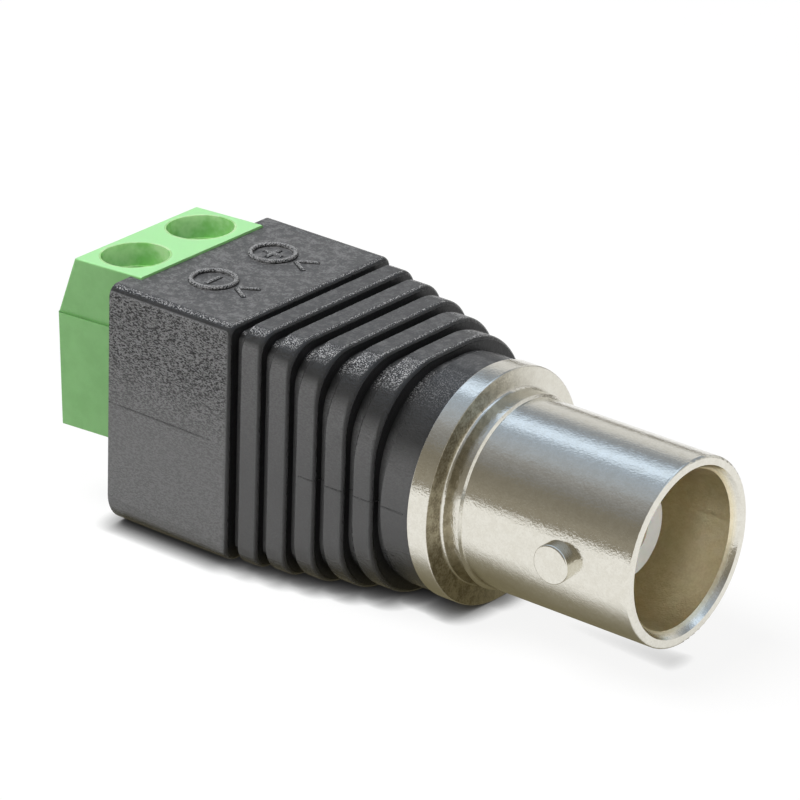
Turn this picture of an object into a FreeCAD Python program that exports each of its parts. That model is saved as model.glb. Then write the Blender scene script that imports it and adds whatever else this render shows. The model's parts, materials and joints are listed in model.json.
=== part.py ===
import FreeCAD, Part
import math
import os

from FreeCAD import Placement, Rotation, Vector

# Adapter from a coaxial bayonet socket to a two-pole screw terminal, in millimetres.
#
# Frame: the origin is the centre of the socket's mouth, on the socket's axis. +X points out
# of the mouth, the way a mating plug leaves. +Z is up, on the side of the terminal's screws.
# A setback is a distance behind the mouth, so its place is at minus that X.

# Socket body: tube, lugs, hub, flange and rear boss, one casting turned about the X axis
tube_diameter = 9.65
tube_wall = 0.765
mouth_lead_in = 0.3
mouth_lead_length = 0.45
sized_bore_length = 2.9
tube_bore_depth = 7.7
tube_draft_step = 0.26
floor_depth = 8.3
floor_step = 0.4
lip_rounding = 0.12
lug_diameter = 2.0
lug_span = 11.0
lug_setback = 4.08
lug_rounding = 0.1
hub_step = 0.15
hub_length = 1.05
hub_taper = 0.08
flange_step = 1.125
flange_thickness = 1.2
flange_setback = 11.05
flange_rounding = 0.08
flange_root_rounding = 0.2
boss_wall = 0.7
boss_length = 5.6
boss_groove_depth = 0.5
boss_groove_width = 1.3
boss_groove_start = 2.0
floor_wall = 1.4

# White insulator, held in the boss by the washer of the ground tag
nose_diameter = 4.7
nose_setback = 3.16
nose_rounding = 0.15
collar_diameter = 6.4
finger_gap = 0.08

# Centre contact: a socket with sprung fingers, a shank through the insulator and a tail
contact_diameter = 2.06
contact_bore = 1.35
contact_bore_depth = 4.6
contact_setback = 3.3
contact_lead_in = 0.12
slot_count = 4
slot_width = 0.25
slot_length = 3.8
shoulder_setback = 9.0
shank_diameter = 1.6
contact_tail_diameter = 1.0
contact_tail_length = 1.8
shank_reach = 0.5

# Ground tag: a washer staked in the rear of the boss, with a tail for the lead
tag_shoulder = 0.5
tag_hole = 3.4
tag_thickness = 0.6
tag_tail_width = 1.6
tag_tail_thickness = 0.5
tag_tail_length = 2.6

# Black housing: a square block, ribs that turn from square to round, and a round neck. The
# block stands out from the flange at its sides and top, and its bottom drops to the rear.
block_side_step = 0.2
block_top_step = 0.67
block_bottom_inset = 0.05
block_rear_drop = 0.35
block_length = 7.81
block_top_corner = 0.6
block_front_corner = 0.95
block_rear_corner = 1.8
block_front_rounding = 0.3
rib_count = 5
rib_pitch = 1.77
rib_width = 1.25
rib_front_rounding = 0.3
rib_rear_rounding = 0.12
rib_side_inset = 0.17
rib_top_step = 0.1
rib_bottom_inset = 0.05
rib_corner = 0.9
rib_corner_growth = 1.6
rib_proud = 0.2
groove_depth = 0.5
groove_corner = 0.3
neck_inset = 0.1
neck_length = 1.67

# Two raised rings on the block's top, which mark the poles
ring_diameter = 2.55
ring_width = 0.27
ring_height = 0.18
ring_spacing = 4.6
ring_inset = 3.35

# Green terminal body, drawn square to the frame and then tilted as it sits in the housing
terminal_tilt = 2.88
terminal_side_wall = 0.4
pole_pitch = 5.0
terminal_proud = 0.1
terminal_height = 9.15
terminal_notch = 0.69
terminal_overhang = 3.75
terminal_slope = 1.2
ledge_drop = 3.1
terminal_rounding = 0.1
panel_proud = 0.15
panel_margin = 0.25
panel_corner = 0.25
foot_length = 2.1
foot_drop = 3.6
well_diameter = 3.5
well_depth = 1.2
head_gap = 0.05
screw_setback = 32.72
screw_seat_drop = 2.6
shelf_thickness = 0.6
floor_thickness = 0.4
entry_width = 2.7
entry_height = 2.5
entry_chamfer = 0.4

# Clamp screws, one a pole
head_diameter = 3.0
head_height = 1.2
head_chamfer = 0.15
head_slot_width = 0.55
head_slot_depth = 0.6
screw_diameter = 2.5
screw_tip_chamfer = 0.2
running_gap = 0.05

# Rising cages, stored open, at the bottom of their travel
cage_length = 3.4
cage_gap = 0.1
cage_side_wall = 0.4
cage_floor_wall = 0.5
cage_roof = 0.8
wire_gap = 1.8

# Contact bars, each bent down into a solder pin
bar_thickness = 0.65
bar_width = 1.6
bar_inset = 0.5
pin_thickness = 0.8
pin_width = 1.0
pin_length = 3.0
pin_front_wall = 0.6

# Tinned leads inside the housing
lead_diameter = 0.7
lead_stub = 1.4
lead_bend = 1.0

# Places worked out from the sizes above
tube_bore = tube_diameter - 2 * tube_wall
step_bore = tube_bore - 2 * tube_draft_step
floor_diameter = step_bore - 2 * floor_step
tag_diameter = collar_diameter + 2 * tag_shoulder
boss_diameter = tag_diameter + 2 * boss_wall
hub_diameter = tube_diameter + 2 * hub_step
flange_diameter = hub_diameter + 2 * flange_step
neck_diameter = flange_diameter - 2 * neck_inset
block_width = flange_diameter + 2 * block_side_step
block_top = flange_diameter / 2 + block_top_step
block_front_bottom = -flange_diameter / 2 + block_bottom_inset
block_rear_bottom = block_front_bottom - block_rear_drop
rib_side = block_width / 2 - rib_side_inset
rib_top = block_top + rib_top_step
rib_bottom = block_front_bottom + rib_bottom_inset
flange_rear = flange_setback + flange_thickness
boss_rear = flange_rear + boss_length
neck_rear = flange_rear + neck_length
rib_groove = rib_pitch - rib_width
block_front = neck_rear + rib_count * rib_pitch + rib_groove
block_rear = block_front + block_length
collar_front = floor_depth + floor_wall
tag_front = boss_rear - tag_thickness
tail_front = boss_rear + shank_reach

terminal_top = block_top + terminal_proud
terminal_bottom = terminal_top - terminal_height
terminal_rear = block_rear + terminal_overhang + terminal_slope
terminal_front = block_rear - terminal_notch
ledge_height = terminal_top - ledge_drop
foot_front = terminal_front - foot_length
seat_height = terminal_top - screw_seat_drop
chamber_top = seat_height - shelf_thickness
chamber_bottom = terminal_bottom + floor_thickness
cage_bottom = chamber_bottom + running_gap
wire_bottom = cage_bottom + cage_floor_wall
bar_bottom = wire_bottom + wire_gap
bar_top = bar_bottom + bar_thickness
cage_window_top = bar_top + running_gap
cage_top = cage_window_top + cage_roof
cage_window_width = screw_diameter + 2 * running_gap
cage_width = cage_window_width + 2 * cage_side_wall
chamber_width = cage_width + 2 * cage_gap
chamber_length = cage_length + 2 * cage_gap
terminal_width = pole_pitch + chamber_width + 2 * terminal_side_wall
pin_front = foot_front + pin_front_wall
pin_bottom = terminal_bottom - pin_length
lead_landing = terminal_bottom - pin_length / 2

tilt_pivot = Vector(-block_rear, 0, block_top)
tilt_turn = Rotation(Vector(0, 1, 0), -terminal_tilt)
poles = {"minus": -1, "plus": 1}
same_place = 1e-4


def turned(profile):
    """Solid of revolution about the X axis, from (setback, radius) points."""
    points = [Vector(-setback, radius, 0) for setback, radius in profile]
    face = Part.Face(Part.makePolygon(points + points[:1]))
    return face.revolve(Vector(0, 0, 0), Vector(1, 0, 0), 360)


def rod(setback, length, diameter):
    """Round bar on the X axis, from a setback towards the rear."""
    return Part.makeCylinder(diameter / 2, length, Vector(-setback, 0, 0), Vector(-1, 0, 0))


def block(x_range, y_range, z_range):
    """Box from its lowest and highest X, Y and Z."""
    lows = [min(limits) for limits in (x_range, y_range, z_range)]
    sizes = [abs(limits[1] - limits[0]) for limits in (x_range, y_range, z_range)]
    return Part.makeBox(*sizes, Vector(*lows))


def ring_edges(shape, setback, diameter):
    """The circular edges about the X axis at one setback and diameter."""
    found = []
    for edge in shape.Edges:
        if not isinstance(edge.Curve, Part.Circle):
            continue
        near = abs(edge.Curve.Center.x + setback) < same_place
        if near and abs(edge.Curve.Radius - diameter / 2) < same_place:
            found.append(edge)
    return found


def edges_at_setback(shape, setback):
    """The edges that lie wholly in the plane at one setback."""
    return [edge for edge in shape.Edges
            if max(abs(edge.BoundBox.XMin + setback), abs(edge.BoundBox.XMax + setback)) < same_place]


def tilted(shape):
    """Puts a piece of the terminal where the terminal sits, tilted in the housing."""
    return shape.transformed(Placement(Vector(0, 0, 0), tilt_turn, tilt_pivot).toMatrix())


def tilted_point(point):
    """A point of the terminal, moved with the terminal's tilt."""
    return tilt_turn.multVec(point - tilt_pivot) + tilt_pivot


def jack_shell():
    """Casting with the tube, its two lugs, the hub, the flange and the rear boss."""
    tube = tube_diameter / 2
    hub_front = flange_setback - hub_length
    groove_front = flange_rear + boss_groove_start
    groove_rear = groove_front + boss_groove_width
    groove_radius = boss_diameter / 2 - boss_groove_depth
    body = turned([
        (0, tube_bore / 2 + mouth_lead_in), (0, tube),
        (hub_front - hub_taper, tube), (hub_front, hub_diameter / 2),
        (flange_setback, hub_diameter / 2), (flange_setback, flange_diameter / 2),
        (flange_rear, flange_diameter / 2), (flange_rear, boss_diameter / 2),
        (groove_front, boss_diameter / 2), (groove_front, groove_radius),
        (groove_rear, groove_radius), (groove_rear, boss_diameter / 2),
        (boss_rear, boss_diameter / 2), (boss_rear, tag_diameter / 2),
        (tag_front, tag_diameter / 2), (tag_front, collar_diameter / 2),
        (collar_front, collar_diameter / 2), (collar_front, nose_diameter / 2),
        (floor_depth, nose_diameter / 2), (floor_depth, floor_diameter / 2),
        (tube_bore_depth, step_bore / 2), (sized_bore_length, tube_bore / 2),
        (mouth_lead_length, tube_bore / 2),
    ])
    body = body.makeFillet(flange_root_rounding, ring_edges(body, flange_setback, hub_diameter))
    for setback in (flange_setback, flange_rear):
        body = body.makeFillet(flange_rounding, ring_edges(body, setback, flange_diameter))
    body = body.makeFillet(lip_rounding, ring_edges(body, 0, tube_diameter))
    for side in poles.values():
        root = side * (tube_diameter + tube_bore) / 4
        lug_length = lug_span / 2 - abs(root)
        lug = Part.makeCylinder(lug_diameter / 2, lug_length, Vector(-lug_setback, root, 0),
                                Vector(0, side, 0))
        face = [edge for edge in lug.Edges
                if abs(edge.BoundBox.Center.y - side * lug_span / 2) < same_place]
        body = body.fuse(lug.makeFillet(lug_rounding, face))
    return body


def boss_envelope():
    """The rear boss as the housing meets it, without its hollow."""
    filled = rod(flange_rear, boss_length, collar_diameter)
    return jack_shell().fuse(filled)


def dielectric():
    """White insulator: a nose in the tube and a collar in the boss, bored for the contact."""
    nose = rod(nose_setback, collar_front - nose_setback, nose_diameter)
    nose = nose.makeFillet(nose_rounding, ring_edges(nose, nose_setback, nose_diameter))
    collar = rod(collar_front, tag_front - collar_front, collar_diameter)
    finger_bore = rod(nose_setback, shoulder_setback - nose_setback, contact_diameter + 2 * finger_gap)
    shank_bore = rod(shoulder_setback, tag_front - shoulder_setback, shank_diameter)
    return nose.fuse(collar).cut(finger_bore).cut(shank_bore).removeSplitter()


def centre_contact():
    """Slotted socket with its shank and solder tail."""
    head = rod(contact_setback, shoulder_setback - contact_setback, contact_diameter)
    shank = rod(shoulder_setback, tail_front - shoulder_setback, shank_diameter)
    tail = rod(tail_front, contact_tail_length, contact_tail_diameter)
    bore = rod(contact_setback, contact_bore_depth, contact_bore)
    lead_in = turned([
        (contact_setback, 0), (contact_setback, contact_bore / 2 + contact_lead_in),
        (contact_setback + contact_lead_in, contact_bore / 2), (contact_setback + contact_lead_in, 0),
    ])
    body = head.fuse([shank, tail]).cut([bore, lead_in])
    slot_step = 360 / slot_count
    for index in range(slot_count):
        slot = block((-contact_setback, -contact_setback - slot_length), (0, contact_diameter),
                     (-slot_width / 2, slot_width / 2))
        slot.rotate(Vector(0, 0, 0), Vector(1, 0, 0), slot_step * (index + 0.5))
        body = body.cut(slot)
    return body.removeSplitter()


def ground_tag():
    """Washer with a tail that stands out to the rear on the minus side."""
    washer = rod(tag_front, tag_thickness, tag_diameter).cut(rod(tag_front, tag_thickness, tag_hole))
    outer = tag_hole / 2 + (tag_diameter - tag_hole) / 4 + tag_tail_thickness / 2
    tail = block((-tag_front, -boss_rear - tag_tail_length), (-outer, tag_tail_thickness - outer),
                 (-tag_tail_width / 2, tag_tail_width / 2))
    return washer.fuse(tail).removeSplitter()


def rounded_outline(setback, width, top, bottom, top_corner, bottom_corner):
    """Face of a rounded rectangle across the X axis, with its own top and bottom corners."""
    half = width / 2
    bow = 1 - math.sqrt(0.5)

    def point(y, z):
        return Vector(-setback, y, z)

    def corner(y, z, toward_y, toward_z, radius, along_y):
        """Arc round one corner, from one flat to the next."""
        on_side = point(y, z + toward_z * radius)
        on_flat = point(y + toward_y * radius, z)
        middle = point(y + toward_y * radius * bow, z + toward_z * radius * bow)
        ends = (on_side, on_flat) if along_y else (on_flat, on_side)
        return Part.Arc(ends[0], middle, ends[1]).toShape(), ends

    corners = [
        corner(-half, top, 1, -1, top_corner, True),
        corner(half, top, -1, -1, top_corner, False),
        corner(half, bottom, -1, 1, bottom_corner, True),
        corner(-half, bottom, 1, 1, bottom_corner, False),
    ]
    edges = []
    for index, (arc, ends) in enumerate(corners):
        following = corners[(index + 1) % len(corners)][1]
        edges += [arc, Part.makeLine(ends[1], following[0])]
    return Part.Face(Part.Wire(edges))


def block_body():
    """Square block, whose lower side rises a little towards the front."""
    rear = rounded_outline(block_rear, block_width, block_top, block_rear_bottom,
                           block_top_corner, block_rear_corner)
    front = rounded_outline(block_front, block_width, block_top, block_front_bottom,
                            block_top_corner, block_front_corner)
    body = Part.makeLoft([rear.OuterWire, front.OuterWire], True, True)
    return body.makeFillet(block_front_rounding, edges_at_setback(body, block_front))


def band(front, rear, share, inset):
    """Plain band of the housing. Share runs from 0 at the square end to 1 at the round neck."""
    neck = neck_diameter / 2
    side = rib_side + share * (neck - rib_side) - inset
    top = rib_top + share * (neck + rib_proud - rib_top) - inset
    bottom = rib_bottom - share * (neck + rib_proud + rib_bottom) + inset
    corner = rib_corner + share ** rib_corner_growth * (neck - rib_corner)
    corner = max(corner - inset, groove_corner)
    outline = rounded_outline(rear, 2 * side, top, bottom, corner, corner)
    return outline.extrude(Vector(rear - front, 0, 0))


def housing_outside():
    """Block, ribs, grooves and neck, before the pieces inside are let in."""
    bands = rib_count + 1
    pieces = [rod(flange_rear, neck_length, neck_diameter)]
    for index in range(1, bands + 1):
        rear = neck_rear + (bands - index) * rib_pitch
        groove_share = (index - 0.5) / bands
        pieces.append(band(rear - rib_width / 2, rear + rib_groove + rib_width / 2, groove_share,
                           groove_depth))
        if index < bands:
            front = rear - rib_width
            rib = band(front, rear, index / bands, 0)
            rib = rib.makeFillet(rib_front_rounding, edges_at_setback(rib, front))
            pieces.append(rib.makeFillet(rib_rear_rounding, edges_at_setback(rib, rear)))
    pieces += [pole_ring(side) for side in poles.values()]
    return block_body().fuse(pieces).removeSplitter()


def pole_ring(side):
    """Raised ring on the block's top, with rounded upper edges."""
    sunk = ring_height / 2
    centre = Vector(-block_rear + ring_inset, side * ring_spacing / 2, block_top - sunk)
    up = Vector(0, 0, 1)
    outer = Part.makeCylinder(ring_diameter / 2, ring_height + sunk, centre, up)
    inner = Part.makeCylinder(ring_diameter / 2 - ring_width, ring_height + sunk, centre, up)
    ring = outer.cut(inner)
    upper = [edge for edge in ring.Edges
             if isinstance(edge.Curve, Part.Circle) and edge.BoundBox.ZMin > block_top]
    return ring.makeFillet(ring_width / 3, upper)


def terminal_prism():
    """Plain form of the terminal body, with its sloped rear and its foot."""
    profile = [
        (terminal_rear - terminal_slope, terminal_top), (terminal_rear, ledge_height),
        (terminal_rear, terminal_bottom), (foot_front, terminal_bottom),
        (foot_front, terminal_top - foot_drop), (terminal_front, terminal_top - foot_drop),
        (terminal_front, terminal_top),
    ]
    half = terminal_width / 2
    points = [Vector(-setback, -half, height) for setback, height in profile]
    return Part.Face(Part.makePolygon(points + points[:1])).extrude(Vector(0, terminal_width, 0))


def side_panels():
    """Raised panels of the terminal's two sides, bevelled at the rear and rounded at the front."""
    panel_half = terminal_width / 2 + panel_proud
    panel_front = block_rear + panel_margin
    panels = block((-terminal_rear, -panel_front), (-panel_half, panel_half),
                   (terminal_bottom, ledge_height))
    rear = [edge for edge in edges_at_setback(panels, terminal_rear)
            if edge.BoundBox.YLength < same_place]
    panels = panels.makeChamfer(panel_proud, rear)
    front = [edge for edge in edges_at_setback(panels, panel_front)
             if edge.BoundBox.ZMin > ledge_height - same_place]
    return panels.makeFillet(panel_corner, front)


def terminal_outside():
    """The terminal body as the housing meets it."""
    return terminal_prism().fuse(side_panels()).removeSplitter()


def terminal_body():
    """Green body with a well, a cage chamber and a wire entry for each pole."""
    body = terminal_prism()
    upper = [edge for edge in body.Edges if edge.BoundBox.ZMax > terminal_top - same_place
             and edge.BoundBox.XMin < -terminal_front - same_place]
    body = body.makeFillet(terminal_rounding, upper).fuse(side_panels()).removeSplitter()
    for side in poles.values():
        centre = side * pole_pitch / 2
        well = Part.makeCylinder(well_diameter / 2, well_depth,
                                 Vector(-screw_setback, centre, terminal_top - well_depth))
        pocket = Part.makeCylinder(head_diameter / 2 + head_gap, screw_seat_drop,
                                   Vector(-screw_setback, centre, seat_height))
        shelf_hole = Part.makeCylinder(screw_diameter / 2 + running_gap, shelf_thickness,
                                       Vector(-screw_setback, centre, chamber_top))
        chamber = block((-screw_setback - chamber_length / 2, -screw_setback + chamber_length / 2),
                        (centre - chamber_width / 2, centre + chamber_width / 2),
                        (chamber_bottom, chamber_top))
        body = body.cut([well, pocket, shelf_hole, chamber, wire_entry(centre)])
        body = body.cut(flat_bar(side))
    return body


def wire_entry(centre):
    """Cutter for one wire entry: a square hole with a funnel at the rear face."""
    entry_middle = (wire_bottom + bar_bottom) / 2
    widths = (entry_width, entry_width + 2 * entry_chamfer)
    heights = (entry_height, entry_height + 2 * entry_chamfer)

    def outline(setback, width, height):
        corners = [(-1, -1), (1, -1), (1, 1), (-1, 1), (-1, -1)]
        return Part.makePolygon([Vector(-setback, centre + y * width / 2, entry_middle + z * height / 2)
                                 for y, z in corners])

    hole = block((-terminal_rear, -screw_setback), (centre - entry_width / 2, centre + entry_width / 2),
                 (entry_middle - entry_height / 2, entry_middle + entry_height / 2))
    funnel = Part.makeLoft([outline(terminal_rear, widths[1], heights[1]),
                            outline(terminal_rear - entry_chamfer, widths[0], heights[0])], True, True)
    return hole.fuse(funnel)


def flat_bar(side):
    """Contact bar, square to the frame: a flat tongue in the cage, bent down into a pin."""
    centre = side * pole_pitch / 2
    tongue_rear = screw_setback + cage_length / 2 - bar_inset
    tongue = block((-tongue_rear, -pin_front), (centre - bar_width / 2, centre + bar_width / 2),
                   (bar_bottom, bar_top))
    pin = block((-pin_front - pin_thickness, -pin_front), (centre - pin_width / 2, centre + pin_width / 2),
                (pin_bottom, bar_top))
    return tongue.fuse(pin).removeSplitter()


def clamp_screw(side):
    """Slotted screw that hangs in the shelf of its well."""
    centre = side * pole_pitch / 2
    base = Vector(-screw_setback, centre, seat_height)
    head = Part.makeCylinder(head_diameter / 2, head_height, base)
    rim = [edge for edge in head.Edges
           if isinstance(edge.Curve, Part.Circle) and edge.BoundBox.ZMin > seat_height + head_height / 2]
    head = head.makeChamfer(head_chamfer, rim)
    slot = block((-screw_setback - head_diameter, -screw_setback + head_diameter),
                 (centre - head_slot_width / 2, centre + head_slot_width / 2),
                 (seat_height + head_height - head_slot_depth, seat_height + head_height))
    shank_length = seat_height - bar_top - 2 * running_gap
    shank = Part.makeCylinder(screw_diameter / 2, shank_length, base, Vector(0, 0, -1))
    tip = [edge for edge in shank.Edges
           if isinstance(edge.Curve, Part.Circle) and edge.BoundBox.ZMax < seat_height - shank_length / 2]
    shank = shank.makeChamfer(screw_tip_chamfer, tip)
    return tilted(head.cut(slot).fuse(shank).removeSplitter())


def clamp_cage(side):
    """Square cage round the bar, with the screw's hole in its roof."""
    centre = side * pole_pitch / 2
    cage = block((-screw_setback - cage_length / 2, -screw_setback + cage_length / 2),
                 (centre - cage_width / 2, centre + cage_width / 2), (cage_bottom, cage_top))
    window_half = cage_window_width / 2
    window = block((-screw_setback - cage_length, -screw_setback + cage_length),
                   (centre - window_half, centre + window_half), (wire_bottom, cage_window_top))
    hole = Part.makeCylinder(screw_diameter / 2 + running_gap, cage_roof,
                             Vector(-screw_setback, centre, cage_window_top))
    return tilted(cage.cut([window, hole]))


def bent_lead(points, diameter, radius):
    """Round wire along straight runs joined by tangent arcs."""
    edges = []
    start = points[0]
    for before, at, after in zip(points, points[1:], points[2:]):
        incoming = (at - before).normalize()
        outgoing = (after - at).normalize()
        half_turn = incoming.getAngle(outgoing) / 2
        reach = radius * math.tan(half_turn)
        arc_start = at - incoming * reach
        arc_end = at + outgoing * reach
        inward = (outgoing - incoming).normalize()
        middle = at + inward * radius * (1 / math.cos(half_turn) - 1)
        edges.append(Part.makeLine(start, arc_start))
        edges.append(Part.Arc(arc_start, middle, arc_end).toShape())
        start = arc_end
    edges.append(Part.makeLine(start, points[-1]))
    path = Part.Wire(edges)
    section = Part.Wire(Part.makeCircle(diameter / 2, points[0], points[1] - points[0]))
    return path.makePipeShell([section], True, False)


def lead_route(start, side):
    """Points of a lead from a tail, up past the terminal's foot and down to a pole's pin."""
    landing = tilted_point(Vector(-pin_front, side * pole_pitch / 2, lead_landing))
    rearward = tilt_turn.multVec(Vector(-1, 0, 0))
    approach = landing - rearward * lead_stub
    return [start, start + Vector(-lead_stub, 0, 0), approach, landing]


def signal_lead():
    """From the centre contact's tail to the plus pin."""
    start = Vector(-tail_front - contact_tail_length, 0, 0)
    return bent_lead(lead_route(start, poles["plus"]), lead_diameter, lead_bend)


def ground_lead():
    """From the ground tag's tail to the minus pin."""
    tail_middle = tag_hole / 2 + (tag_diameter - tag_hole) / 4
    start = Vector(-boss_rear - tag_tail_length, -tail_middle, 0)
    return bent_lead(lead_route(start, poles["minus"]), lead_diameter, lead_bend)


def housing():
    """The housing as moulded round the pieces inside it."""
    inside = [boss_envelope(), ground_tag(), centre_contact(), signal_lead(), ground_lead(),
              tilted(terminal_outside())]
    inside += [tilted(flat_bar(side)) for side in poles.values()]
    body = housing_outside()
    for piece in inside:
        body = body.cut(piece)
    return body


def build():
    """Every piece by its name."""
    pieces = {
        "housing": housing(),
        "terminal_body": tilted(terminal_body()),
        "jack_shell": jack_shell(),
        "dielectric": dielectric(),
        "centre_contact": centre_contact(),
        "ground_tag": ground_tag(),
        "signal_lead": signal_lead(),
        "ground_lead": ground_lead(),
    }
    for pole, side in poles.items():
        pieces["screw_" + pole] = clamp_screw(side)
        pieces["clamp_" + pole] = clamp_cage(side)
        pieces["bar_" + pole] = tilted(flat_bar(side))
    return pieces


os.makedirs("parts", exist_ok=True)
for name, shape in build().items():
    print(name, "solids", len(shape.Solids), "volume", round(shape.Volume, 3), "valid", shape.isValid())
    shape.exportStep("parts/" + name + ".step")
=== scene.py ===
# %% [markdown]
# A small adapter in three finishes: a ribbed black moulding, a bright green screw terminal at its rear
# and a nickel-plated bayonet jack at its front. Its solids arrive already built, at their real size.
# This lesson gives them their surfaces, adds the small marks that a mould leaves, and sets up a plain
# studio. Everything is in metres, in the frame of the solids: +X leaves the jack's mouth, +Z is up.

# %% Load the fixed frame
import json
import math
import bpy
import numpy as np
from mathutils import Matrix, Vector
from mathutils.bvhtree import BVHTree


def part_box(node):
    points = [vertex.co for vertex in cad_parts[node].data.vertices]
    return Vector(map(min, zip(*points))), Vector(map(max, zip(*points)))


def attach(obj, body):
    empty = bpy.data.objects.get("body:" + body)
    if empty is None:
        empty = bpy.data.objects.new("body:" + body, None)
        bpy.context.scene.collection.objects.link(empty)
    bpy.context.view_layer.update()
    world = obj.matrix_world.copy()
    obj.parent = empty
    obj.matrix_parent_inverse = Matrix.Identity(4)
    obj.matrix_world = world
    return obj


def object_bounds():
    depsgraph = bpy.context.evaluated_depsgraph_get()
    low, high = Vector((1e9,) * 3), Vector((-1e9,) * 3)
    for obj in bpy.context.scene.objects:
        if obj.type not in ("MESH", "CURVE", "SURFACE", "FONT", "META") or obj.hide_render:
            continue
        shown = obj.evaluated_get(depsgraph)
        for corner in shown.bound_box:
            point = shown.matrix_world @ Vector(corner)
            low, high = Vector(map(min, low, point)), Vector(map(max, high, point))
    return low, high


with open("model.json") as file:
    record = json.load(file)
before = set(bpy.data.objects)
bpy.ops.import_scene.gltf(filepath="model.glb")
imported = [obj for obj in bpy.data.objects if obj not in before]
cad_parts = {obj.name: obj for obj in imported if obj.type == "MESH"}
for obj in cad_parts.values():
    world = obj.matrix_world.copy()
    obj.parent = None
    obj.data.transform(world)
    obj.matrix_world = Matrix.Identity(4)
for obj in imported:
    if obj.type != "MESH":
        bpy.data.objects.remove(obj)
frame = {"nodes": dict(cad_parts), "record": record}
cad_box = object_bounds()
nodes = frame["nodes"]
MM = 0.001
print(len(nodes), "nodes, box in mm:", [[round(c / MM, 2) for c in corner] for corner in cad_box])

# %% [markdown]
# The outer corners are read from the solids, so the dressing follows them. What their boxes can't tell,
# such as where the block ends or how far the terminal leans, is given here as a number.

# %% Sizes read from the frame
housing_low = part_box("housing")[0]
jack_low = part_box("jack_shell")[0]
pole_pitch = 5.0 * MM
block_rear = housing_low.x
block_length = 7.81 * MM
block_front = block_rear + block_length
block_top = 6.77 * MM
flange_radius = -jack_low.z
flange_front = -11.05 * MM
flange_middle = flange_front - 0.6 * MM
neck_rear = -13.92 * MM
ring_place = (block_rear + 3.35 * MM, 2.3 * MM)
screw_axis_x = -32.72 * MM

# The terminal leans back a little: its own up, along and across, as unit vectors.
terminal_tilt = math.radians(2.88)
screw_up = np.array([-math.sin(terminal_tilt), 0, math.cos(terminal_tilt)])
screw_along = np.array([math.cos(terminal_tilt), 0, math.sin(terminal_tilt)])
screw_across = np.array([0, 1.0, 0])
print("block from %.2f to %.2f mm" % (block_rear / MM, block_front / MM))

# %% [markdown]
# The camera stands where the photograph's did. Its place and turn were worked out once, by fitting the
# corners and round edges of the solids to the picture: seen from the right front and above, from about
# a quarter of a metre, with a slight roll. The lens is long, so the picture is nearly without perspective.

# %% Camera
camera_azimuth = math.radians(37.781)
camera_elevation = math.radians(24.200)
camera_roll = math.radians(1.924)
camera_distance = 244.713 * MM
look_shift = (13.670 * MM, -7.248 * MM)
focal_pixels = 5158.546
image_pixels = 800
sensor = 36.0

back = Vector((math.sin(camera_azimuth) * math.cos(camera_elevation),
               -math.cos(camera_azimuth) * math.cos(camera_elevation),
               math.sin(camera_elevation)))
level_right = Vector((math.cos(camera_azimuth), math.sin(camera_azimuth), 0))
level_up = back.cross(level_right)
right = math.cos(camera_roll) * level_right + math.sin(camera_roll) * level_up
up = -math.sin(camera_roll) * level_right + math.cos(camera_roll) * level_up
eye = camera_distance * back - look_shift[0] * right - look_shift[1] * up

lens = bpy.data.cameras.new("camera")
lens.sensor_width = sensor
lens.lens = focal_pixels * sensor / image_pixels
lens.clip_start = 0.01
lens.clip_end = 20
camera = bpy.data.objects.new("camera", lens)
camera.matrix_world = Matrix.Translation(eye) @ Matrix((right, up, back)).transposed().to_4x4()
bpy.context.scene.collection.objects.link(camera)
bpy.context.scene.camera = camera
print("camera at", [round(c / MM, 1) for c in eye], "mm, lens %.1f mm" % lens.lens)

# %% [markdown]
# Every new piece is a surface worked out as an array of points, rows by columns. One helper turns such a
# grid into a mesh. Where the piece is closed, it joins the last column to the first, caps both ends, and
# turns the faces outwards by the sign of the volume that they enclose.

# %% From a grid of points to a mesh
def surface(name, points, wrap_columns=False, caps=False):
    """Object from a grid of points (rows, columns, 3), one quad for each cell of the grid."""
    rows, columns = points.shape[:2]
    index = np.arange(rows * columns).reshape(rows, columns)
    ends = [index[0][::-1].tolist(), index[-1].tolist()]
    if wrap_columns:
        index = np.hstack([index, index[:, :1]])
    corners = (index[:-1, :-1], index[1:, :-1], index[1:, 1:], index[:-1, 1:])
    faces = np.stack(corners, axis=-1).reshape(-1, 4).tolist()
    if caps:
        faces += ends
    mesh = bpy.data.meshes.new(name)
    mesh.from_pydata(points.reshape(-1, 3).tolist(), [], faces)
    mesh.update()
    if caps and enclosed(mesh) < 0:
        mesh.flip_normals()
    mesh.polygons.foreach_set("use_smooth", np.ones(len(mesh.polygons), dtype=bool))
    piece = bpy.data.objects.new(name, mesh)
    bpy.context.scene.collection.objects.link(piece)
    return piece


def enclosed(mesh):
    """Volume inside a closed mesh: the sum over its triangles of a . (b x c) / 6."""
    mesh.calc_loop_triangles()
    corners = np.empty(len(mesh.loop_triangles) * 3, dtype=np.int32)
    mesh.loop_triangles.foreach_get("vertices", corners)
    places = np.empty(len(mesh.vertices) * 3)
    mesh.vertices.foreach_get("co", places)
    a, b, c = places.reshape(-1, 3)[corners].reshape(-1, 3, 3).transpose(1, 0, 2)
    return np.einsum("ij,ij->i", a, np.cross(b, c)).sum() / 6


# %% [markdown]
# Materials are built from the same few effects, so each effect is a node group with named inputs. A short
# helper adds a node and joins its inputs in one go: a number is set, and a socket is linked.

# %% Short forms for nodes and groups
def add(tree, kind, inputs=None, **settings):
    """Adds a shader node. Inputs maps a socket's name or number to a value or to another socket."""
    made = tree.nodes.new("ShaderNode" + kind)
    for name, value in settings.items():
        setattr(made, name, value)
    for name, value in (inputs or {}).items():
        if isinstance(value, bpy.types.NodeSocket):
            tree.links.new(value, made.inputs[name])
        else:
            made.inputs[name].default_value = value
    return made


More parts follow.
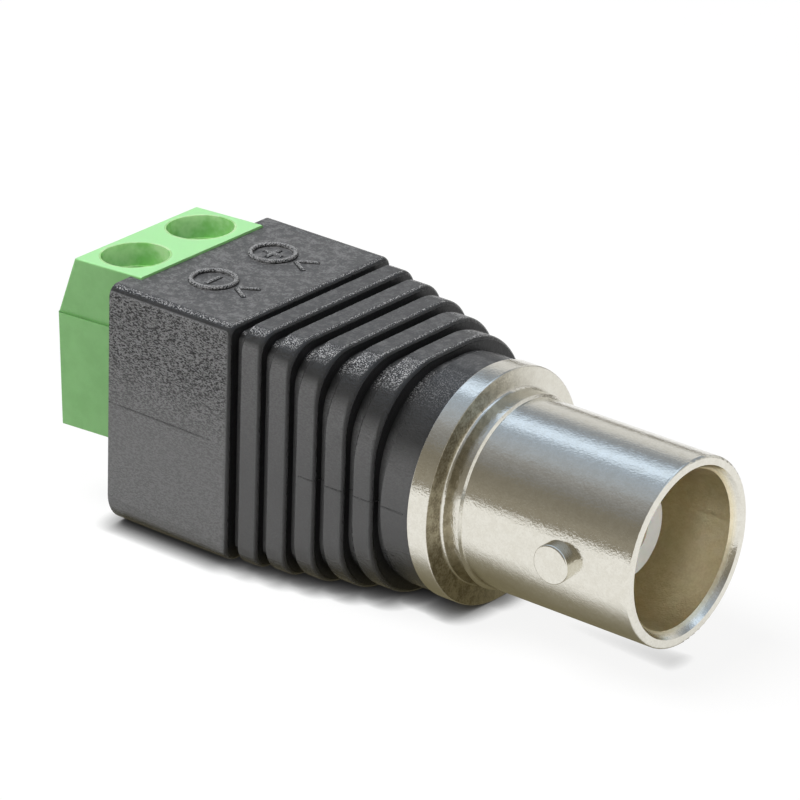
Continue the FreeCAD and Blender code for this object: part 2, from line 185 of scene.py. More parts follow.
def calc(tree, operation, *values):
    """One Math node's result. Each value is a number or a socket."""
    return add(tree, "Math", dict(enumerate(values)), operation=operation).outputs[0]


def product(tree, first, second):
    """Two values multiplied."""
    return calc(tree, "MULTIPLY", first, second)


def radius(tree, first, second):
    """Distance from an axis: sqrt(first^2 + second^2)."""
    squares = calc(tree, "ADD", product(tree, first, first), product(tree, second, second))
    return calc(tree, "SQRT", squares)


def parts(tree, vector):
    """X, Y and Z of a vector."""
    return add(tree, "SeparateXYZ", {0: vector}).outputs


def ramp(tree, value, low, high):
    """Rises smoothly from 0 at low to 1 at high."""
    made = add(tree, "MapRange", {"Value": value, "From Min": low, "From Max": high},
               interpolation_type="SMOOTHSTEP")
    return made.outputs["Result"]


def grey(level):
    """Neutral colour of one level."""
    return (level, level, level)


def mix_colour(tree, share, first, second):
    """Colour between two colours, each of them red, green and blue, or a socket."""
    made = add(tree, "Mix", {0: share}, data_type="RGBA")
    for number, value in ((6, first), (7, second)):
        if isinstance(value, bpy.types.NodeSocket):
            tree.links.new(value, made.inputs[number])
        else:
            made.inputs[number].default_value = (*value, 1)
    return made.outputs[2]


def direct_rays(tree):
    """Two values: 1 for camera rays, and 1 for camera and mirrored rays. Bounced light has 0 for both."""
    path = add(tree, "LightPath").outputs
    mirrored = calc(tree, "MAXIMUM", path["Is Glossy Ray"], path["Is Transmission Ray"])
    return path["Is Camera Ray"], calc(tree, "MAXIMUM", path["Is Camera Ray"], mirrored)


def new_group(name, inputs, outputs):
    """Empty node group, with inputs given as name and starting value."""
    group = bpy.data.node_groups.new(name, "ShaderNodeTree")
    for socket, start in inputs.items():
        made = group.interface.new_socket(socket, in_out="INPUT", socket_type="NodeSocketFloat")
        made.default_value = start
    for socket in outputs:
        group.interface.new_socket(socket, in_out="OUTPUT", socket_type="NodeSocketFloat")
    given = group.nodes.new("NodeGroupInput")
    result = group.nodes.new("NodeGroupOutput")
    return group, given.outputs, result.inputs


def use_group(tree, group, **values):
    """Places a group in a material, with its own values."""
    made = tree.nodes.new("ShaderNodeGroup")
    made.node_tree = group
    for name, value in values.items():
        made.inputs[name.replace("_", " ")].default_value = value
    return made.outputs


# %% [markdown]
# Grain. The mould of the black housing was sparked or etched, which leaves short wavy wrinkles about
# a tenth of a millimetre apart, drawn out along the part. A picture of leather could be wrapped round it,
# but noise on the object's own coordinates needs no seams. It is turned a little, stretched along one
# way so that its blobs become wrinkles, and distorted so that they waver.

# %% Node group: wrinkled grain
def wrinkled_grain():
    """Height of wrinkles, noise(S R p) + share * noise(2.6 p), and slow patches for the shade."""
    group, given, result = new_group(
        "wrinkled grain", {"Wrinkles per metre": 16000, "Fine share": 0.25}, ["Height", "Shade"])
    place = add(group, "TexCoord").outputs["Object"]
    slanted = add(group, "Mapping", {"Vector": place, "Rotation": (0, math.radians(-17), 0),
                                     "Scale": (0.45, 0.8, 1.0)}).outputs[0]
    wrinkle = add(group, "TexNoise", {"Vector": slanted, "Scale": given["Wrinkles per metre"], "Detail": 1.5,
                                      "Roughness": 0.55, "Distortion": 0.7}).outputs[0]
    fine_scale = product(group, given["Wrinkles per metre"], 2.6)
    fine = add(group, "TexNoise", {"Vector": place, "Scale": fine_scale, "Detail": 1.0}).outputs[0]
    height = calc(group, "MULTIPLY_ADD", fine, given["Fine share"], wrinkle)
    patch_scale = product(group, given["Wrinkles per metre"], 0.03)
    patches = add(group, "TexNoise", {"Vector": place, "Scale": patch_scale, "Detail": 2.0}).outputs[0]
    group.links.new(height, result["Height"])
    group.links.new(ramp(group, patches, 0.3, 0.7), result["Shade"])
    return group


# %% [markdown]
# Speckle. Semi-gloss plastic and plated castings both sparkle: tiny facets catch a light while their
# neighbours miss it. Two sizes of noise make the facets, and a third, slow one gives the cloudy patches
# that plating shows.

# %% Node group: sparkling skin
def sparkling_skin():
    """Height of tiny facets, noise(p) + 0.8 noise(0.27 p), and a slow cloud for colour and gloss."""
    group, given, result = new_group(
        "sparkling skin", {"Facets per metre": 11000, "Clouds per metre": 500}, ["Height", "Cloud"])
    place = add(group, "TexCoord").outputs["Object"]
    facets = add(group, "TexNoise", {"Vector": place, "Scale": given["Facets per metre"], "Detail": 2.0,
                                     "Roughness": 0.6}).outputs[0]
    coarse_scale = product(group, given["Facets per metre"], 0.27)
    coarse = add(group, "TexNoise", {"Vector": place, "Scale": coarse_scale, "Detail": 1.0}).outputs[0]
    height = calc(group, "MULTIPLY_ADD", coarse, 0.8, facets)
    clouds = add(group, "TexNoise", {"Vector": place, "Scale": given["Clouds per metre"], "Detail": 3.0,
                                     "Roughness": 0.65}).outputs[0]
    group.links.new(height, result["Height"])
    group.links.new(ramp(group, clouds, 0.32, 0.68), result["Cloud"])
    return group


grain_group = wrinkled_grain()
skin_group = sparkling_skin()
print("node groups:", [group.name for group in bpy.data.node_groups])

# %% [markdown]
# Each finish is one Principled shader, whose colour, gloss and bump come from those groups. The names
# are those of the record's material slots.

# %% A material with its shader
def new_material(name, **values):
    """Material with one Principled shader, and plain values set on its sockets."""
    material = bpy.data.materials.new(name)
    material.use_nodes = True
    shader = material.node_tree.nodes["Principled BSDF"]
    for socket, value in values.items():
        shader.inputs[socket.replace("_", " ")].default_value = value
    return material, material.node_tree, shader


def bump(tree, shader, height, depth):
    """Feeds the shader's normal from a height, of which 1 stands for a depth in metres."""
    made = add(tree, "Bump", {"Height": height, "Distance": depth, "Strength": 1.0})
    tree.links.new(made.outputs[0], shader.inputs["Normal"])


def gloss(tree, shader, mask, low, high):
    """Roughness between two values, by a mask."""
    tree.links.new(add(tree, "MapRange", {"Value": mask, "To Min": low, "To Max": high}).outputs[0],
                   shader.inputs["Roughness"])


# %% [markdown]
# The black housing is soft vinyl. Its flat sides show the wrinkled grain, its top and ribs only a fine one,
# and along the upper rounded edges pale specks are painted glints. So grain and specks follow the way a face
# looks: a mask is made from the normal, and it picks the colour and the depth of the bump. Much of that
# colour is painted light: sheen on sides and top, highlight and shade on the grain, glints on the edges.

# %% Black vinyl
block_edge = 0.4 * MM
wrinkle_heights = (-1.0 * MM, 4.0 * MM)
neck_fade = 0.6 * MM
sign_heights = (block_top + 0.03 * MM, block_top + 0.11 * MM)
dots_per_metre = 15000
vinyl_depth = 0.055 * MM


def housing_plastic():
    """Dark grey with painted light: sheen on sides and top, pale grain crests and glints, dark valleys and
    forward flanks.
    """
    material, tree, shader = new_material("housing_plastic", IOR=1.45)
    grain = use_group(tree, grain_group)
    skin = use_group(tree, skin_group, Facets_per_metre=9500, Clouds_per_metre=350)
    coordinates = add(tree, "TexCoord").outputs
    facing = parts(tree, coordinates["Normal"])
    place = parts(tree, coordinates["Object"])

    # Where a face looks and lies: sideways, on a rounded edge, on the block, and how high, since the
    # wrinkles grow stronger higher up.
    across, upright, along = (calc(tree, "ABSOLUTE", facing[axis]) for axis in ("Y", "Z", "X"))
    sideways = ramp(tree, across, 0.80, 0.97)
    steepest = calc(tree, "MAXIMUM", along, calc(tree, "MAXIMUM", across, upright))
    edge = ramp(tree, steepest, 0.985, 0.90)
    on_block = ramp(tree, place["X"], block_front, block_front - block_edge)
    higher_up = calc(tree, "MULTIPLY_ADD", ramp(tree, place["Z"], *wrinkle_heights), 0.70, 0.30)
    share = calc(tree, "MULTIPLY_ADD", on_block, 0.7, 0.3)
    wrinkled = product(tree, product(tree, sideways, share), higher_up)

    # The sides: a lighter colour that is painted sheen, with pale crests and black valleys as painted
    # highlight and painted shade over the bump's relief. The flanks that look forward get painted shade,
    # near black.
    crest = ramp(tree, grain["Height"], 0.53, 0.72)
    valley = product(tree, calc(tree, "SUBTRACT", 1.0, crest), wrinkled)
    plain = mix_colour(tree, grain["Shade"], grey(0.030), grey(0.038))
    side_sheen = mix_colour(tree, on_block, grey(0.090), grey(0.192))
    pale = mix_colour(tree, sideways, plain, side_sheen)
    pale = mix_colour(tree, wrinkled, pale, grey(0.265))
    colour = mix_colour(tree, valley, pale, grey(0.010))
    colour = mix_colour(tree, ramp(tree, facing["X"], 0.45, 0.90), colour, grey(0.006))

    # The level top gets painted sheen: a lighter, speckled grey for the light it reflects.
    top_sheen = mix_colour(tree, ramp(tree, skin["Height"], 0.82, 1.10), grey(0.085), grey(0.190))
    level_top = ramp(tree, facing["Z"], 0.985, 0.998)
    flat_top = product(tree, level_top, calc(tree, "MULTIPLY_ADD", on_block, 0.4, 0.6))
    colour = mix_colour(tree, flat_top, colour, top_sheen)

    # Painted glints: pale dots on the upper rounded edges, fewer on the neck, and on the raised signs, for
    # the light tiny facets catch.
    rim = product(tree, ramp(tree, facing["Z"], 0.74, 0.90), ramp(tree, facing["Z"], 0.997, 0.97))
    dots = add(tree, "TexNoise", {"Vector": coordinates["Object"], "Scale": dots_per_metre,
                                  "Detail": 1.0}).outputs[0]
    behind_neck = ramp(tree, place["X"], neck_rear, neck_rear - neck_fade)
    rim = product(tree, rim, calc(tree, "MULTIPLY_ADD", behind_neck, 0.75, 0.25))
    glint = product(tree, ramp(tree, dots, 0.47, 0.68), rim)
    raised = product(tree, ramp(tree, place["Z"], *sign_heights), on_block)
    sign_glint = product(tree, raised, ramp(tree, dots, 0.38, 0.62))
    glint = calc(tree, "MAXIMUM", glint, product(tree, sign_glint, 0.75))
    tree.links.new(mix_colour(tree, glint, colour, grey(0.50)), shader.inputs["Base Color"])

    gloss(tree, shader, calc(tree, "MULTIPLY_ADD", skin["Cloud"], 0.25, edge), 0.50, 0.24)
    wrinkles = product(tree, grain["Height"], calc(tree, "MULTIPLY_ADD", wrinkled, 1.0, 0.05))
    facets = product(tree, skin["Height"], calc(tree, "MULTIPLY_ADD", edge, 0.7, 0.4))
    bump(tree, shader, calc(tree, "ADD", wrinkles, facets), vinyl_depth)
    return material


# %% [markdown]
# The green terminal is a hard polyamide, moulded satin outside and polished inside its wells, where the
# tool's pins were smooth. It lets a little light in, so it looks lit from within. Its colour also carries
# painted light: a paler top, painted shade on the low ledges, and paler wells with painted reflections.

# %% Green polyamide
well_edge = (1.9 * MM, 1.78 * MM)
top_heights = (5.4 * MM, 6.0 * MM)
green_depth = 0.009 * MM


def terminal_plastic():
    """Fresh green with painted light: a paler top, painted shade on the low ledges, paler wells; satin
    outside, glossy in the wells.
    """
    material, tree, shader = new_material("terminal_plastic", IOR=1.5, Subsurface_Weight=0.12,
                                          Subsurface_Radius=(0.5, 1.0, 0.4), Subsurface_Scale=0.4 * MM)
    skin = use_group(tree, skin_group, Facets_per_metre=5000, Clouds_per_metre=800)
    coordinates = add(tree, "TexCoord").outputs
    facing = parts(tree, coordinates["Normal"])
    place = parts(tree, coordinates["Object"])
    along = calc(tree, "SUBTRACT", place["X"], screw_axis_x)
    across = calc(tree, "SUBTRACT", calc(tree, "ABSOLUTE", place["Y"]), pole_pitch / 2)
    in_well = ramp(tree, radius(tree, along, across), *well_edge)
    sides = mix_colour(tree, skin["Cloud"], (0.245, 0.545, 0.190), (0.275, 0.595, 0.215))
    # Painted light: upward faces at the top take a paler copy of the green, low upward ledges a darker one
    # as a painted shadow line.
    on_top = ramp(tree, place["Z"], *top_heights)
    upward = mix_colour(tree, on_top, (0.110, 0.270, 0.085), (0.445, 0.910, 0.405))
    outside = mix_colour(tree, ramp(tree, facing["Z"], 0.3, 0.95), sides, upward)
    # Painted light in the wells: a paler green, with cloudy pale patches as painted reflections.
    inside = mix_colour(tree, skin["Cloud"], (0.360, 0.780, 0.250), (0.660, 1.000, 0.520))
    tree.links.new(mix_colour(tree, in_well, outside, inside), shader.inputs["Base Color"])
    gloss(tree, shader, in_well, 0.42, 0.14)
    bump(tree, shader, skin["Height"], green_depth)
    return material


# %% [markdown]
# The jack is a zinc casting under warm nickel. Plating keeps the casting's skin: fine facets that glitter
# where a bright and a dark reflection meet, and a rougher face on the flange, which no tool has polished.
# The near half of that face is tinted brown, a painted reflection of the tube's dark side, and the mouth a
# brighter tan, painted bounced light. The bright bands along the tube aren't painted: they are reflections
# of the studio.

# %% Nickel over a casting
rough_from = flange_front + 1.2 * MM
rough_all = flange_front + 0.6 * MM
bore_edge = (4.30 * MM, 4.08 * MM)
reflection_reach = 3.5 * MM
nickel_depth = 0.011 * MM


def nickel_plate():
    """Warm metal, polished outside, rough in the mouth and on the flange's flat face; painted reflection
    browns the face's near half and painted bounced light makes the mouth tan.
    """
    material, tree, shader = new_material("nickel_plate", Metallic=1.0)
    skin = use_group(tree, skin_group, Facets_per_metre=8500, Clouds_per_metre=1500)
    coordinates = add(tree, "TexCoord").outputs
    facing = parts(tree, coordinates["Normal"])
    place = parts(tree, coordinates["Object"])
    forward = ramp(tree, calc(tree, "ABSOLUTE", facing["X"]), 0.6, 0.95)
    rough_face = product(tree, forward, ramp(tree, place["X"], rough_from, rough_all))
    inside = ramp(tree, radius(tree, place["Y"], place["Z"]), *bore_edge)
    # The tint is lighter on the highest facets: a mild painted sparkle beside the bump's own.
    speck = ramp(tree, skin["Height"], 0.62, 1.18)
    tint = mix_colour(tree, speck, (0.715, 0.69, 0.61), (0.77, 0.75, 0.675))
    # Painted reflection: the near half of the flange face turns brown, for the tube's dark side that it
    # mirrors.
    painted_reflection = product(tree, rough_face, ramp(tree, place["Y"], reflection_reach, -reflection_reach))
    brown = mix_colour(tree, speck, (0.20, 0.17, 0.11), (0.44, 0.40, 0.295))
    tint = mix_colour(tree, painted_reflection, tint, brown)
    # Painted bounced light: the mouth gets a warmer tan, brighter than the outside plating.
    tan = mix_colour(tree, speck, (0.82, 0.735, 0.52), (0.92, 0.84, 0.63))
    tree.links.new(mix_colour(tree, inside, tint, tan), shader.inputs["Base Color"])
    dull = calc(tree, "MAXIMUM", rough_face, inside)
    gloss(tree, shader, calc(tree, "MULTIPLY_ADD", skin["Cloud"], 0.2, dull), 0.10, 0.40)
    depth = calc(tree, "MULTIPLY_ADD", dull, 0.8, 0.8)
    bump(tree, shader, product(tree, skin["Height"], depth), nickel_depth)
    return material


# %% [markdown]
# The small pieces: a waxy white insulator, a gold contact, zinc-plated screws and tinned brass. Each is
# the same skin with its own colour, gloss and depth, so one function makes them all.

# %% White, gold, zinc and tin
def small_finish(name, dark, light, polished, dull, depth, **values):
    """Finish with a cloudy colour and gloss, and a fine skin."""
    material, tree, shader = new_material(name, **values)
    skin = use_group(tree, skin_group, Facets_per_metre=14000, Clouds_per_metre=900)
    tree.links.new(mix_colour(tree, skin["Cloud"], dark, light), shader.inputs["Base Color"])
    gloss(tree, shader, skin["Cloud"], polished, dull)
    bump(tree, shader, skin["Height"], depth)
    return material


finishes = {
    "housing_plastic": housing_plastic(),
    "terminal_plastic": terminal_plastic(),
    "nickel_plate": nickel_plate(),
    "insulator_plastic": small_finish("insulator_plastic", (0.82, 0.82, 0.79), (0.88, 0.88, 0.86), 0.4, 0.55,
                                      0.003 * MM, Subsurface_Weight=0.2, Subsurface_Scale=0.3 * MM),
    "gold_plate": small_finish("gold_plate", (0.80, 0.56, 0.22), (0.90, 0.68, 0.30), 0.18, 0.3,
                               0.002 * MM, Metallic=1.0),
    "screw_steel": small_finish("screw_steel", (0.66, 0.68, 0.71), (0.80, 0.81, 0.83), 0.3, 0.5,
                                0.003 * MM, Metallic=1.0),
    "tinned_brass": small_finish("tinned_brass", (0.66, 0.65, 0.61), (0.76, 0.75, 0.72), 0.28, 0.42,
                                 0.003 * MM, Metallic=1.0),
}
print("finishes:", sorted(finishes))

# %% [markdown]
# The record says which finish each solid has. The solids are right as they are, so only their material
# changes.

# %% Dress the solids
slot_of = {part["node"]: part["material_slot"] for part in frame["record"]["subparts"]}
for name, solid in nodes.items():
    for holder in solid.material_slots:
        holder.material = finishes[slot_of[name]]
print("dressed", len(nodes), "solids")

# %% [markdown]
# Beside each screw a raised ring marks the pole. Inside the ring stands a sign, minus or plus, and an
# arrow beside it points to the screw. A stroke is a pillow: its height falls off to nothing at its
# outline. A sign of two strokes is the higher of two pillows at each point, so one formula on one grid
# draws them all.

# %% Raised pole signs
sign_length = 1.25 * MM
sign_width = 0.30 * MM
sign_height = 0.15 * MM
sign_foot = 0.04 * MM
arrow_gap = 2.0 * MM
arrow_slant = math.radians(32)
# The grid's reach from the middle of a sign, in lengths of a stroke, and its points along each side.
sign_reach = 0.6
sign_points = 121


def pillow(x, y, turn, middle=(0, 0)):
    """Height of a stroke along a turned line: h * sqrt((1 - |2a/l|^6) (1 - |2c/w|^2.4)), or nothing."""
    x, y = x - middle[0], y - middle[1]
    along = x * math.cos(turn) + y * math.sin(turn)
    across = y * math.cos(turn) - x * math.sin(turn)
    length_part = np.clip(1 - np.abs(2 * along / sign_length) ** 6, 0, 1)
    width_part = np.clip(1 - np.abs(2 * across / sign_width) ** 2.4, 0, 1)
    return sign_height * np.sqrt(length_part * width_part)


def relief(name, centre, strokes):
    """Raised sign: the highest stroke at each point of a square grid, on a flat foot in the block's top."""
    steps = np.linspace(-sign_reach, sign_reach, sign_points) * sign_length
    x, y = np.meshgrid(steps, steps, indexing="ij")
    height = np.maximum.reduce([pillow(x, y, *stroke) for stroke in strokes])
    keep = (height > 0).any(axis=1)
    x, y, height = x[keep], y[keep], height[keep]
    place = np.array([*centre, block_top - sign_foot])
    upper = np.stack([x, y, height], axis=-1) + place
    lower = np.stack([x, y, np.full_like(x, -sign_foot)], axis=-1) + place
    ring = np.concatenate([upper, lower[:, ::-1]], axis=1)
    piece = surface(name, ring, wrap_columns=True, caps=True)
    piece.data.materials.append(finishes["housing_plastic"])
    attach(piece, "root")
    print(name, len(piece.data.polygons), "faces")


bar, upright = (math.pi / 2,), (0.0,)
arm_shift = sign_length / 2 * math.sin(arrow_slant)
arms = [(slant, (0, math.copysign(arm_shift, slant))) for slant in (arrow_slant, -arrow_slant)]
for pole, side, strokes in (("minus", -1, [bar]), ("plus", 1, [bar, upright])):
    ring_centre = (ring_place[0], side * ring_place[1])
    relief("sign_" + pole, ring_centre, strokes)
    relief("arrow_" + pole, (ring_centre[0] + arrow_gap, ring_centre[1]), arms)

# %% [markdown]
# Where the two halves of the housing's mould met, a hair of vinyl crept between them and left a line at
# mid height. It follows the surface, up every rib and down every groove. A ray sent in from the side
# finds the surface at each step, and a thin half-round bead is carried along those points.

# %% Mould line
line_width = 0.07 * MM
line_height = 0.022 * MM
line_step = 0.05 * MM
line_corners = 8
ray_start = 20 * MM
# Rear and front end, and the height at each, in mm.
line_runs = {
    "block": (block_rear / MM + 0.05, block_front / MM - 1.2, 0.50, 0.44),
    "ribs": (-19.0, -12.5, 0.12, 0.10),
}


def skin_points(side, stations, heights):
    """Points of the housing's outer surface, found from outside at each X and Z."""
    tree = BVHTree.FromObject(nodes["housing"], bpy.context.evaluated_depsgraph_get())
    inwards = Vector((0, -side, 0))
    starts = (Vector((x, side * ray_start, z)) for x, z in zip(stations, heights))
    return np.array([tree.ray_cast(start, inwards)[0] for start in starts])


def mould_line(name, side, rear, front, rear_height, front_height):
    """Half-round bead along the surface: path + w cos(t) * up + h(s) sin(t) * outwards."""
    stations = np.arange(rear, front, line_step)
    share = (stations - rear) / (front - rear)
    heights = rear_height + share * (front_height - rear_height)
    path = skin_points(side, stations, heights)
    turn = np.linspace(0, 2 * np.pi, line_corners, endpoint=False)
    swell = line_height * np.sin(np.pi * np.clip(share, 0.02, 0.98)) ** 0.4
    outwards = np.array([0, side, 0]) * (swell[:, None] * np.sin(turn))[..., None]
    upwards = np.array([0, 0, 1]) * (line_width / 2 * np.cos(turn))[None, :, None]
    return surface(name, path[:, None, :] + outwards + upwards, wrap_columns=True, caps=True)


for run, ends in line_runs.items():
    for hand, side in (("near", -1), ("far", 1)):
        line = mould_line("mould_line_%s_%s" % (run, hand), side, *(end * MM for end in ends))
        line.data.materials.append(finishes["housing_plastic"])
        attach(line, "root")
        print(line.name, len(line.data.polygons), "faces")

# %% [markdown]
# The solids of the clamp screws are smooth. Their thread is a fine bead wound round the shank: a small
# triangle carried along a helix, tapering away at both ends. It stays inside the running gap of the
# cage's hole and turns with its screw.

# %% Screw threads
thread_pitch = 0.45 * MM
thread_depth = 0.04 * MM
shank_radius = 1.25 * MM
thread_sides = 40
# Where the thread begins, from the screw's middle, and how far it goes, as shares of its length.
thread_start = -0.47
thread_share = 0.72
# Triangle of the bead: its reach outwards in depths, and along the screw in pitches.
thread_section = np.array([[-0.03, -0.32], [1.0, 0], [-0.03, 0.32]])


def screw_thread(pole):
    """Helix: radius r out from the screw's axis, rising one pitch a turn, with a triangular section."""
    low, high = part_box("screw_" + pole)
    middle = np.array((low + high) / 2)
    length = (high.z - low.z) / screw_up[2]
    turns = thread_share * length / thread_pitch
    turn = np.linspace(0, 2 * np.pi * turns, int(turns * thread_sides))
    fade = np.clip(np.minimum(turn, turn[-1] - turn) / np.pi, 0.02, 1)[:, None]
    turn = turn[:, None]
    reach = shank_radius + thread_section[:, 0] * thread_depth * fade
    rise = thread_start * length + thread_pitch * (turn / (2 * np.pi) + thread_section[:, 1] * fade)
    outwards = np.cos(turn)[..., None] * screw_along + np.sin(turn)[..., None] * screw_across
    points = middle + reach[..., None] * outwards + rise[..., None] * screw_up
    return surface("thread_" + pole, points, wrap_columns=True, caps=True)


for pole in ("minus", "plus"):
    thread = screw_thread(pole)
    thread.data.materials.append(finishes["screw_steel"])
    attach(thread, "screw_" + pole)
    print(thread.name, len(thread.data.polygons), "faces")

# %% [markdown]
# The screws' heads are slightly domed, so they catch the light at the bottom of their wells. The dome
# is two half-moons, one on each side of the driver's slot, each a grid that bulges over the flat head.

# %% Domed screw heads
dome_rise = 0.17 * MM
dome_foot = 0.02 * MM
head_radius = 1.46 * MM
slot_half = 0.275 * MM
rim_gap = 0.02 * MM
dome_rows = 13
dome_columns = 33


def head_centre(pole):
    """Middle of the head's flat top: the highest point of the screw's mesh, slid onto its axis."""
    mesh = nodes["screw_" + pole].data
    places = np.empty(len(mesh.vertices) * 3)
    mesh.vertices.foreach_get("co", places)
    low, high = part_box("screw_" + pole)
    middle = np.array((low + high) / 2)
    middle[1] = math.copysign(pole_pitch / 2, middle[1])
    level = (places.reshape(-1, 3) @ screw_up).max() - middle @ screw_up
    return middle + level * screw_up


def half_moon(name, pole, hand):
    """Half a dome: c from the slot to the rim and a along it, height h * (1 - ((a^2 + c^2) / r^2)^7)."""
    share = np.sin(np.linspace(0, np.pi / 2, dome_rows))[:, None]
    across = slot_half + share * (head_radius - rim_gap - slot_half)
    chord = np.sqrt(head_radius ** 2 - across ** 2)
    along = chord * np.sin(np.linspace(-np.pi / 2, np.pi / 2, dome_columns))
    height = dome_rise * (1 - ((along ** 2 + across ** 2) / head_radius ** 2) ** 7)
    sideways = hand * np.broadcast_to(across, along.shape)
    flat = head_centre(pole) + along[..., None] * screw_along + sideways[..., None] * screw_across
    upper = flat + height[..., None] * screw_up
    lower = flat - dome_foot * screw_up
    ring = np.concatenate([upper, lower[:, ::-1]], axis=1)
    return surface(name, ring, wrap_columns=True, caps=True)


for pole in ("minus", "plus"):
    for hand, side in (("near", -1), ("far", 1)):
        dome = half_moon("head_dome_%s_%s" % (pole, hand), pole, side)
        dome.data.materials.append(finishes["screw_steel"])
        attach(dome, "screw_" + pole)
        print(dome.name, len(dome.data.polygons), "faces")

# %% [markdown]
# The studio. The adapter rests on the rear edge of its block and on its flange, so the floor slopes up
# by about a degree towards the front. The camera and mirrors see the floor white by its own light, and a
# painted contact shadow fades it close round the adapter's feet. Bounced light comes from it as from grey
# paper. Where the adapter overhangs it, mirrors see it brown and dark, a painted shade which gives the
# tube and the flange dark lower edges.

# %% Floor
contact_reach = 1.2 * MM
contact_depth = 2.2
mirrored_reach = 6.0 * MM
floor_glow = 0.88
floor_reach = 2.0


def white_floor():
    """White for the camera and reflections, with painted shadow and shade near the adapter, and greyer as a
    source of bounced light.
    """
    material = bpy.data.materials.new("floor_white")
    material.use_nodes = True
    tree = material.node_tree
    tree.nodes.clear()
    by_camera, seen = direct_rays(tree)
    colour = mix_colour(tree, seen, grey(0.55), grey(0.14))
    lit = add(tree, "BsdfDiffuse", {"Color": colour}).outputs[0]
    # Painted contact shadow: the glow fades by ambient occlusion near the adapter, over a faint real shadow.
    contact = add(tree, "AmbientOcclusion", {"Distance": contact_reach}, samples=16).outputs["AO"]
    level = product(tree, calc(tree, "POWER", contact, contact_depth), floor_glow)
    # Painted shade for mirrors: the floor turns dark brown where the adapter overhangs it.
    shelter = add(tree, "AmbientOcclusion", {"Distance": mirrored_reach}, samples=8).outputs["AO"]
    shade = mix_colour(tree, ramp(tree, shelter, 0.58, 0.80), (0.16, 0.14, 0.08), grey(floor_glow))
    tint = mix_colour(tree, by_camera, shade, grey(1))
    power = calc(tree, "MAXIMUM", product(tree, by_camera, level), calc(tree, "SUBTRACT", seen, by_camera))
    glow = add(tree, "Emission", {"Color": tint, "Strength": power}).outputs[0]
    both = add(tree, "AddShader", {0: lit, 1: glow}).outputs[0]
    add(tree, "OutputMaterial", {"Surface": both})
    return material


rear_rest = (block_rear, housing_low.z)
front_rest = (flange_middle, -flange_radius)
floor_slope = (front_rest[1] - rear_rest[1]) / (front_rest[0] - rear_rest[0])
steps = np.linspace(-floor_reach, floor_reach, 9)
floor_x, floor_y = np.meshgrid(steps, steps, indexing="ij")
floor_z = rear_rest[1] + floor_slope * (floor_x - rear_rest[0])
floor = surface("floor", np.stack([floor_x, floor_y, floor_z], axis=-1))
floor.data.materials.append(white_floor())
print("floor slope %.2f degrees" % math.degrees(math.atan(floor_slope)))

# %% [markdown]
# Metal shows what stands round it, so its look is made by panels, as a product photographer does. A
# barrel of panels lies along the object's axis: pale low on the far side, blue-grey above it with one
# bright strip, and dark brown on the near side. Only mirrors see it. Its colour depends on the angle
# round the axis, which each corner of the mesh carries as an attribute, and a colour ramp paints it.

# %% Barrel of panels
tones = {
    "warm": (1.08, 1.0, 0.82),
    "plain": (1.0, 1.0, 1.0),
    "cool": (0.92, 1.0, 1.12),
    "sky": (0.84, 1.0, 1.24),
}
panel_distance = 0.45
panel_ends = (-1.2, 0.6)
# Degrees round from the far side over the top, brightness, and tone.
panel_stops = [
    (-3, 0.15, "warm"), (5, 0.20, "warm"),
    (10, 0.83, "plain"), (28, 0.75, "plain"),
    (42, 0.38, "cool"), (49, 0.34, "cool"), (56, 0.48, "sky"),
    (64, 1.00, "sky"), (73, 1.15, "sky"),
    (82, 0.50, "sky"), (106, 0.48, "cool"),
    (118, 0.34, "plain"), (130, 0.26, "plain"), (142, 0.22, "warm"),
    (155, 0.25, "warm"), (168, 0.32, "warm"), (178, 0.26, "warm"),
]
first_angle, last_angle = panel_stops[0][0], panel_stops[-1][0]


def panel_material():
    """Glowing panels, coloured by the angle attribute through a colour ramp."""
    material = bpy.data.materials.new("studio_panels")
    material.use_nodes = True
    tree = material.node_tree
    tree.nodes.clear()
    angle = add(tree, "Attribute", attribute_name="angle").outputs["Fac"]
    bands = add(tree, "ValToRGB", {"Fac": angle})
    stops = bands.color_ramp.elements
    for degrees, level, tone in panel_stops:
        if degrees == first_angle:
            stop = stops[0]
        elif degrees == last_angle:
            stop = stops[-1]
        else:
            stop = stops.new((degrees - first_angle) / (last_angle - first_angle))
        stop.color = (*(level * np.array(tones[tone])), 1)
    light = add(tree, "Emission", {"Color": bands.outputs["Color"]}).outputs[0]
    add(tree, "OutputMaterial", {"Surface": light})
    return material


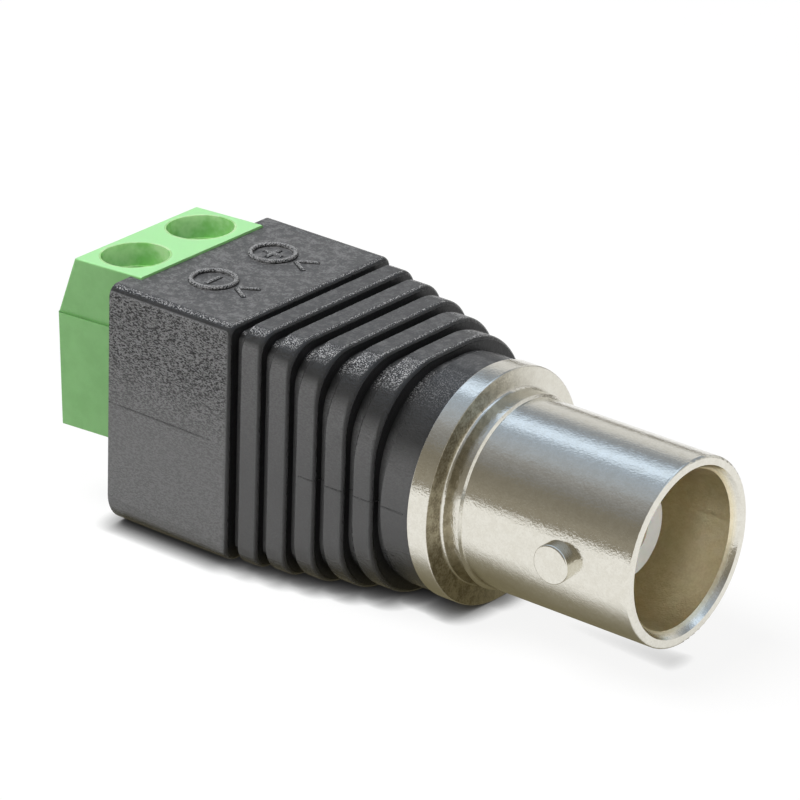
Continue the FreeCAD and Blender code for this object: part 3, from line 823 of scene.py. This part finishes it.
def panel_barrel():
    """Part of a cylinder about the X axis: (x, r cos a, r sin a), from the first stop to the last."""
    angles = np.radians(np.linspace(first_angle, last_angle, 121))
    x, turn = np.meshgrid(np.linspace(*panel_ends, 7), angles, indexing="ij")
    points = np.stack([x, panel_distance * np.cos(turn), panel_distance * np.sin(turn)], axis=-1)
    barrel = surface("studio_panels", points)
    share = (np.degrees(turn) - first_angle) / (last_angle - first_angle)
    barrel.data.attributes.new("angle", "FLOAT", "POINT").data.foreach_set("value", share.ravel())
    barrel.data.materials.append(panel_material())
    for kind in ("camera", "diffuse", "transmission", "volume_scatter", "shadow"):
        setattr(barrel, "visible_" + kind, False)
    return barrel


print("panels:", len(panel_barrel().data.polygons), "faces")

# %% [markdown]
# Soft lamps light the plastics: a large one high at the left, which grazes the near side so that its grain
# stands out, a weak one low at the left, and one before the mouth. Mirrors see the panels instead.

# %% World and lamps
ambient = 0.24
world = bpy.data.worlds.new("studio")
bpy.context.scene.world = world
world.use_nodes = True
sky = world.node_tree
sky.nodes.clear()
strength = calc(sky, "MULTIPLY_ADD", direct_rays(sky)[1], 1 - ambient, ambient)
background = add(sky, "Background", {"Color": (1, 1, 1, 1), "Strength": strength})
add(sky, "OutputWorld", {"Surface": background.outputs[0]})


def soft_lamp(name, direction, distance, size, level):
    """Round area lamp that gives a facing white surface a share of plain white: P = level (pi d)^2."""
    light = bpy.data.lights.new(name, "AREA")
    light.shape = "DISK"
    light.size = size
    light.energy = level * (math.pi * distance) ** 2
    lamp = bpy.data.objects.new(name, light)
    towards = Vector(direction).normalized()
    centre = (Vector(cad_box[0]) + Vector(cad_box[1])) / 2
    turn = towards.to_track_quat("Z", "Y").to_matrix().to_4x4()
    lamp.matrix_world = Matrix.Translation(centre + towards * distance) @ turn
    lamp.visible_glossy = False
    lamp.visible_camera = False
    bpy.context.scene.collection.objects.link(lamp)


soft_lamp("key_lamp", (-0.35, -0.26, 0.89), distance=0.5, size=0.30, level=0.80)
soft_lamp("fill_lamp", (-0.45, -0.80, 0.30), distance=0.6, size=0.4, level=0.06)
soft_lamp("mouth_lamp", (0.95, -0.25, 0.18), distance=0.6, size=0.3, level=0.25)
print("lamps:", [light.name for light in bpy.data.lights])

# %% Colours as they are
bpy.context.scene.view_settings.view_transform = "Standard"
